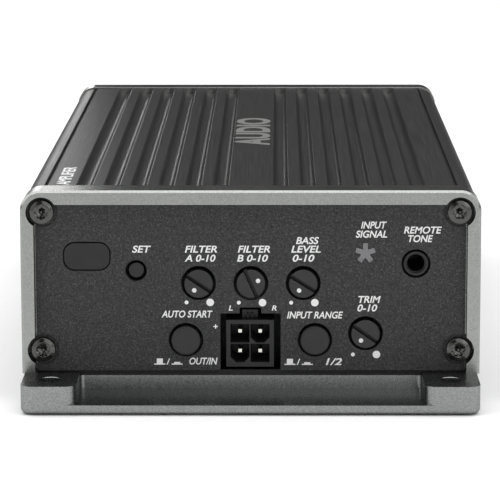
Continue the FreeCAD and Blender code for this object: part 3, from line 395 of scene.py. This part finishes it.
# How far, in millimetres, each node's edges are rounded.
EDGE_ROUNDING = {
    "heatsink_shell": 0.10, "front_frame": 0.09, "rear_frame": 0.09,
    "front_panel": 0.08, "rear_panel": 0.08, "input_header": 0.10, "remote_jack": 0.08,
    "blanking_plug": 0.12, "signal_lamp_lens": 0.05, "input_header_pins": 0.09,
    "power_terminal_housing": 0.15, "speaker_terminal_housing": 0.15, "status_lamp": 0.03,
    "base_screws": 0.05,
    "high_pass_knob": 0.07, "low_pass_knob": 0.07, "bass_boost_knob": 0.07, "gain_knob": 0.07,
    "offset_button": 0.05, "input_level_button": 0.05, "set_button": 0.05,
    "terminal_contacts": 0.06,
}
for row in frame["record"]["subparts"]:
    if row["node"].endswith(("_cage", "_screw")):
        EDGE_ROUNDING[row["node"]] = 0.06
for node, width in EDGE_ROUNDING.items():
    detailed(node, width)


def weigh_edges(obj, light_share, near, reach_mm):
    """Rounds only lightly the edges within reach of some upright axes, such as screw holes."""
    mesh = obj.data
    weights = mesh.attributes.new("bevel_weight_edge", "FLOAT", "EDGE")
    for edge in mesh.edges:
        middle = (mesh.vertices[edge.vertices[0]].co + mesh.vertices[edge.vertices[1]].co) / 2
        away = [math.hypot(middle.x - x * MM, middle.y - y * MM) for x, y in near]
        held = min(away) < reach_mm * MM
        weights.data[edge.index].value = light_share if held else 1.0


base = detailed("base_plate", 0.42, 4)
FOOT_HOLES = [(sx * FOOT_HOLE_X, sy * FOOT_HOLE_Y) for sx in (-1, 1) for sy in (-1, 1)]
weigh_edges(base, 0.04, FOOT_HOLES, 3.0)


def lathe(name, rings, seats, turn):
    """Round pieces along Y from rings of (radius, lobe height, y); seats are the axes' (x, z)."""
    steps = 72
    shape = bmesh.new()
    for x, z in seats:
        loops = []
        for radius, lobe, y in rings:
            loop = []
            for i in range(steps):
                a = 2 * math.pi * i / steps
                r = radius + lobe * math.cos(6 * a)
                loop.append(shape.verts.new(Vector((x + r * math.cos(a), y, z + r * math.sin(a))) * MM))
            loops.append(loop)
        for one, two in zip(loops, loops[1:]):
            for i in range(steps):
                j = (i + 1) % steps
                shape.faces.new((one[i], one[j], two[j], two[i]))
        shape.faces.new(loops[0])
        shape.faces.new(list(reversed(loops[-1])))
    bmesh.ops.recalc_face_normals(shape, faces=shape.faces)
    bmesh.ops.rotate(shape, verts=shape.verts, matrix=Matrix.Rotation(turn, 3, "Z"))
    mesh = bpy.data.meshes.new(name)
    shape.to_mesh(mesh)
    shape.free()
    return mesh


def panel_screw_rings():
    """Centre pin, six-lobed recess, domed head, then a threaded shank."""
    front = SCREW_FRONT
    rings = [(0.20, 0.0, front + 0.30), (0.30, 0.0, front + 0.42), (0.32, 0.0, front + 1.15)]
    rings += [(0.75, 0.02, front + 1.00), (1.16, 0.13, front + 0.88), (1.24, 0.15, front + 0.20)]
    rings += [(1.42, 0.10, front + 0.12), (SCREW_FACE_R, 0.0, front + 0.02)]
    for i in range(1, 7):
        a = math.radians(5 * i)
        across, back = math.sin(a), 1 - math.cos(a)
        rings.append((SCREW_FACE_R + SCREW_DOME_R * across, 0.0, front + 0.02 + SCREW_DOME_R * back))
    shoulder_r = SCREW_HEAD_R - SCREW_SHOULDER_R
    for i in range(6):
        a = math.radians(30 + 12 * i)
        across, back = math.sin(a), math.cos(math.radians(30)) - math.cos(a)
        rings.append((shoulder_r + SCREW_SHOULDER_R * across, 0.0, front + 0.17 + SCREW_SHOULDER_R * back))
    rings += [(SCREW_HEAD_R, 0.0, SCREW_SEAT), (1.22, 0.0, SCREW_SEAT)]
    y = SCREW_SEAT + 0.6
    while y < SCREW_TIP - 1.0:
        rings += [(THREAD_ROOT_R, 0.0, y), (THREAD_CREST_R, 0.0, y + 0.28), (THREAD_CREST_R, 0.0, y + 0.34)]
        y += THREAD_PITCH
    rings += [(THREAD_ROOT_R, 0.0, SCREW_TIP - 0.7), (0.6, 0.0, SCREW_TIP)]
    return rings


SCREW_SEATS = [(sx * SCREW_X, z) for sx in (-1, 1) for z in (SCREW_LOW_Z, SCREW_HIGH_Z)]
for node, turn in (("front_panel_screws", 0.0), ("rear_panel_screws", math.pi)):
    turned = lathe(node, panel_screw_rings(), SCREW_SEATS, turn)
    heads = piece(node + "_detail", turned, "chassis", "nickel_steel")
    heads.data.shade_smooth()
    heads.data.set_sharp_from_angle(angle=math.radians(40))
    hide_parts(node)


def disc_mesh(name, spots, thickness):
    """Thin round pads facing -Y; spots are (x, y, z, radius) in millimetres."""
    shape = bmesh.new()
    for x, y, z, radius in spots:
        turn = Matrix.Rotation(math.radians(90), 4, "X")
        at = Matrix.Translation(Vector((x, y, z)) * MM) @ turn
        bmesh.ops.create_cone(
            shape, cap_ends=True, segments=40, radius1=radius * MM, radius2=(radius - thickness) * MM,
            depth=thickness * MM, matrix=at,
        )
    mesh = bpy.data.meshes.new(name)
    shape.to_mesh(mesh)
    shape.free()
    return mesh


def plate(shape, outline, y, thickness):
    """Adds a thin flat shape facing -Y from an outline of (x, z) points in millimetres."""
    front = [shape.verts.new(Vector((x, y - thickness, z)) * MM) for x, z in outline]
    back = [shape.verts.new(Vector((x, y, z)) * MM) for x, z in outline]
    shape.faces.new(front)
    shape.faces.new(list(reversed(back)))
    count = len(outline)
    for i in range(count):
        j = (i + 1) % count
        shape.faces.new((front[j], front[i], back[i], back[j]))


def lettering(words, size, width, shear, weight, matrix):
    """A mesh of raised letters, width across and centred on their own origin, placed by matrix."""
    curve = bpy.data.curves.new("letters", "FONT")
    curve.body = words
    curve.size = size * MM
    curve.shear = shear
    curve.offset = weight * MM
    curve.extrude = PRINT * MM
    curve.align_x = "CENTER"
    curve.align_y = "CENTER"
    curve.resolution_u = 6
    maker = bpy.data.objects.new("letters", curve)
    COLLECTION.objects.link(maker)
    bpy.context.view_layer.update()
    mesh = bpy.data.meshes.new_from_object(maker.evaluated_get(bpy.context.evaluated_depsgraph_get()))
    left = min(v.co.x for v in mesh.vertices)
    right = max(v.co.x for v in mesh.vertices)
    stretch = Matrix.Scale(width * MM / (right - left), 4, (1, 0, 0))
    mesh.transform(matrix @ stretch @ Matrix.Translation((-(left + right) / 2, 0, 0)))
    bpy.data.objects.remove(maker)
    return mesh


def gathered(name, meshes):
    """One mesh from several, which are used up."""
    shape = bmesh.new()
    for mesh in meshes:
        shape.from_mesh(mesh)
        bpy.data.meshes.remove(mesh)
    bmesh.ops.remove_doubles(shape, verts=shape.verts, dist=1e-7)
    bmesh.ops.recalc_face_normals(shape, faces=shape.faces)
    made = bpy.data.meshes.new(name)
    shape.to_mesh(made)
    shape.free()
    return made


PANEL_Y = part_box("front_panel")[0].y / MM
REAR_PANEL_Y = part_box("rear_panel")[1].y / MM
FACE_FRONT = Matrix.Rotation(math.radians(90), 4, "X")
FACE_REAR = Matrix.Rotation(math.radians(180), 4, "Z") @ FACE_FRONT


def on_panel(x, z):
    """Stands letters on the control panel, centred on a point."""
    return Matrix.Translation(Vector((x, PANEL_Y - PRINT, z)) * MM) @ FACE_FRONT


# Words on the control panel: x and z of the middle, and the width across.
LABELS = [
    ("SET", -22.55, 31.8, 3.9),
    ("FILTER", -10.25, 31.8, 6.7), ("A 0-10", -10.45, 29.9, 6.4),
    ("FILTER", 0.7, 31.8, 6.7), ("B 0-10", 0.4, 29.9, 6.4),
    ("BASS", 11.75, 33.6, 4.75), ("LEVEL", 11.45, 31.8, 6.1), ("0-10", 10.95, 29.9, 4.5),
    ("INPUT", 25.45, 36.85, 5.3), ("SIGNAL", 24.97, 34.95, 6.5),
    ("REMOTE", 35.55, 35.8, 7.8), ("TONE", 35.1, 34.0, 5.1),
    ("TRIM", 24.64, 21.2, 4.6), ("0-10", 24.2, 19.4, 4.1),
    ("AUTO START", -13.2, 18.1, 10.6), ("INPUT RANGE", 13.35, 17.9, 11.6),
    ("OUT/IN", -9.85, 8.1, 5.9), ("1/2", 17.3, 8.0, 3.4),
]
printed = [lettering(w, CAP, wide, LETTER_SLANT, 0.042, on_panel(x, z)) for w, x, z, wide in LABELS]
printed.append(lettering("L", 1.5, 0.85, 0.2, 0.03, on_panel(-4.15, 19.4)))
printed.append(lettering("R", 1.5, 1.05, 0.2, 0.03, on_panel(4.9, 19.4)))

marks = bmesh.new()


def push_symbols(x, z):
    """A raised and a pressed button drawn in section, with a stroke between."""
    low, rim = z - 0.62, z - 0.38
    raised, pressed = z + 0.68, z - 0.04
    outlines = [
        [(x - 3.5, low), (x - 1.2, low), (x - 1.2, rim), (x - 1.72, rim),
         (x - 1.72, raised), (x - 2.98, raised), (x - 2.98, rim), (x - 3.5, rim)],
        [(x - 0.95, low), (x - 0.72, low), (x - 0.2, raised), (x - 0.43, raised)],
        [(x + 0.1, low), (x + 2.4, low), (x + 2.4, rim), (x + 1.9, rim),
         (x + 1.9, pressed), (x + 0.62, pressed), (x + 0.62, rim), (x + 0.1, rim)],
    ]
    for outline in outlines:
        plate(marks, outline, PANEL_Y, 2 * PRINT)


def cross_mark(x, z, arm, half):
    """A plus sign from its arm's length and half its width."""
    points = [
        (-half, -arm), (half, -arm), (half, -half), (arm, -half), (arm, half), (half, half),
        (half, arm), (-half, arm), (-half, half), (-arm, half), (-arm, -half), (-half, -half),
    ]
    plate(marks, [(x + u, z + v) for u, v in points], PANEL_Y, 2 * PRINT)


push_symbols(-16.6, 8.05)
push_symbols(10.5, 8.0)
cross_mark(-7.3, 15.55, 0.45, 0.11)
symbol_mesh = bpy.data.meshes.new("symbols")
marks.to_mesh(symbol_mesh)
marks.free()
printed.append(symbol_mesh)

DIAL_DOTS = [(-10.8, 20.65), (0.05, 20.6), (10.9, 20.6), (23.75, 9.6)]
spots = []
for x, z in DIAL_DOTS:
    spots.append((x + DIAL_LOW_AT, PANEL_Y - PRINT, z, DIAL_LOW_R))
    spots.append((x + DIAL_HIGH_AT, PANEL_Y - PRINT, z, DIAL_HIGH_R))
printed.append(disc_mesh("dial_dots", spots, 2 * PRINT))
piece("panel_print", gathered("panel_print", printed), "chassis", "panel_paint", "white_ink")

# Words on the terminal panel: x and z of the middle, size, and the width across.
REAR_LABELS = [
    ("+", 27.2, 25.6, 3.0, 1.6), ("REM", 18.0, 25.4, CAP, 4.2), ("-", 8.8, 25.6, 3.0, 1.1),
    ("POWER", 18.0, 28.2, CAP, 7.0), ("+", -15.7, 25.6, 3.0, 1.6), ("-", -24.3, 25.6, 3.0, 1.1),
    ("SPEAKER", -20.0, 28.2, CAP, 9.4),
]
rear_print = []
for words, x, z, size, wide in REAR_LABELS:
    at = Matrix.Translation(Vector((x, REAR_PANEL_Y + PRINT, z)) * MM) @ FACE_REAR
    rear_print.append(lettering(words, size, wide, LETTER_SLANT, 0.055, at))
piece("rear_print", gathered("rear_print", rear_print), "chassis", "panel_paint", "white_ink")

TOP_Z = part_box("heatsink_shell")[1].z / MM
UP_TEXT = Matrix.Rotation(math.radians(90), 4, "Z")
# Words on the roof: x and y of the middle, size, width across, stroke weight and ink.
TOP_LABELS = [
    ("top_title", "AUDIO", 0.2, 1.0, 10.6, 46.0, 0.42, "grey_ink"),
    ("top_model", "AMPLIFIER", -39.2, -67.5, 3.9, 24.0, 0.05, "white_ink"),
]
for name, words, x, y, size, wide, weight, look in TOP_LABELS:
    at = Matrix.Translation(Vector((x, y, TOP_Z + PRINT)) * MM) @ UP_TEXT
    letters = lettering(words, size, wide, 0.0, weight, at)
    piece(name, gathered(name, [letters]), "chassis", "anodised_black", look)

# Each knob's x, z and the direction of its dot, in degrees clockwise from the top.
POINTERS = {
    "high_pass_knob": (-10.8, 24.5, 214.0), "low_pass_knob": (0.05, 24.5, 66.0),
    "bass_boost_knob": (10.9, 24.5, 212.0), "gain_knob": (23.85, 13.85, 215.0),
}
for knob, (x, z, angle) in POINTERS.items():
    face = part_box(knob)[0].y / MM
    turn = math.radians(angle)
    dot_x, dot_z = x + math.sin(turn) * POINTER_AT, z + math.cos(turn) * POINTER_AT
    dot = (dot_x, face + POINTER_DEPTH / 2, dot_z, POINTER_R)
    mesh = disc_mesh(knob + "_pointer", [dot], POINTER_DEPTH)
    piece(knob + "_pointer", mesh, knob, "knob_plastic", "white_ink")


# ---------------------------------------------------------------- stage, light and camera
def floor_look():
    """Matt white paper."""
    look = Look("floor_paper", (0.86, 0.86, 0.86), 0.0, 0.9)
    look.shade(look.noise(40.0, 3.0), 0.01)
    return look.material


floor_shape = bmesh.new()
bmesh.ops.create_grid(floor_shape, x_segments=8, y_segments=8, size=4.0)
floor_mesh = bpy.data.meshes.new("floor")
floor_shape.to_mesh(floor_mesh)
floor_shape.free()
floor = bpy.data.objects.new("floor", floor_mesh)
floor.location.z = -0.0002
floor_mesh.materials.append(floor_look())
COLLECTION.objects.link(floor)


def softbox(name, at, toward, width, height, radiance):
    """A soft panel light of a given brightness, aimed at a point."""
    data = bpy.data.lights.new(name, "AREA")
    data.shape = "RECTANGLE"
    data.size, data.size_y = width, height
    data.energy = radiance * math.pi * width * height
    obj = bpy.data.objects.new(name, data)
    obj.location = at
    obj.rotation_mode = "QUATERNION"
    obj.rotation_quaternion = (Vector(toward) - Vector(at)).to_track_quat("-Z", "Y")
    COLLECTION.objects.link(obj)
    return obj


softbox("overhead", (0.0, 0.3, 1.3), (0, 0.3, 0), 2.2, 2.2, 2.5)
softbox("left_box", (-1.0, -0.25, 0.55), (0, 0, 0.02), 0.9, 0.8, 2.2)
softbox("right_box", (1.0, -0.25, 0.55), (0, 0, 0.02), 0.9, 0.8, 1.4)
softbox("front_fill", (0.45, -1.4, 0.55), (0, 0, 0.02), 1.1, 0.8, 1.4)
beam = softbox("back_left", (-0.13, 0.45, 0.10), (-0.068, -0.070, 0.044), 0.11, 0.07, 0.036)
beam.visible_camera = False
beam.data.spread = math.radians(16)
for side in (-1, 1):
    softbox("front_side", (side * 0.57, -0.92, 0.24), (0, -0.1, 0.02), 0.5, 0.45, 0.9)

world = bpy.data.worlds.new("studio")
world.use_nodes = True
bpy.context.scene.world = world
tree = world.node_tree
sky = tree.nodes["Background"]
sky.inputs["Color"].default_value = (0.5, 0.5, 0.5, 1.0)
sky.inputs["Strength"].default_value = 0.11

# The eye stands before the control end, a little right of the middle and a little above the case.
camera_data = bpy.data.cameras.new("camera")
camera_data.sensor_width = 36.0
camera_data.lens = 199.5
camera_data.clip_start, camera_data.clip_end = 0.01, 20.0
camera = bpy.data.objects.new("camera", camera_data)
COLLECTION.objects.link(camera)
RIGHT = Vector((0.9999504, 0.00979562, -0.00180102))
DOWN = Vector((0.0, -0.18082853, -0.98351464))
FORWARD = Vector((-0.00995981, 0.98346586, -0.18081956))
EYE = Vector((5.587, -650.962, 135.266)) * MM
turn = Matrix((RIGHT, -DOWN, -FORWARD)).transposed().to_4x4()
camera.matrix_world = Matrix.Translation(EYE) @ turn
bpy.context.scene.camera = camera
bpy.context.scene.view_settings.view_transform = "Standard"
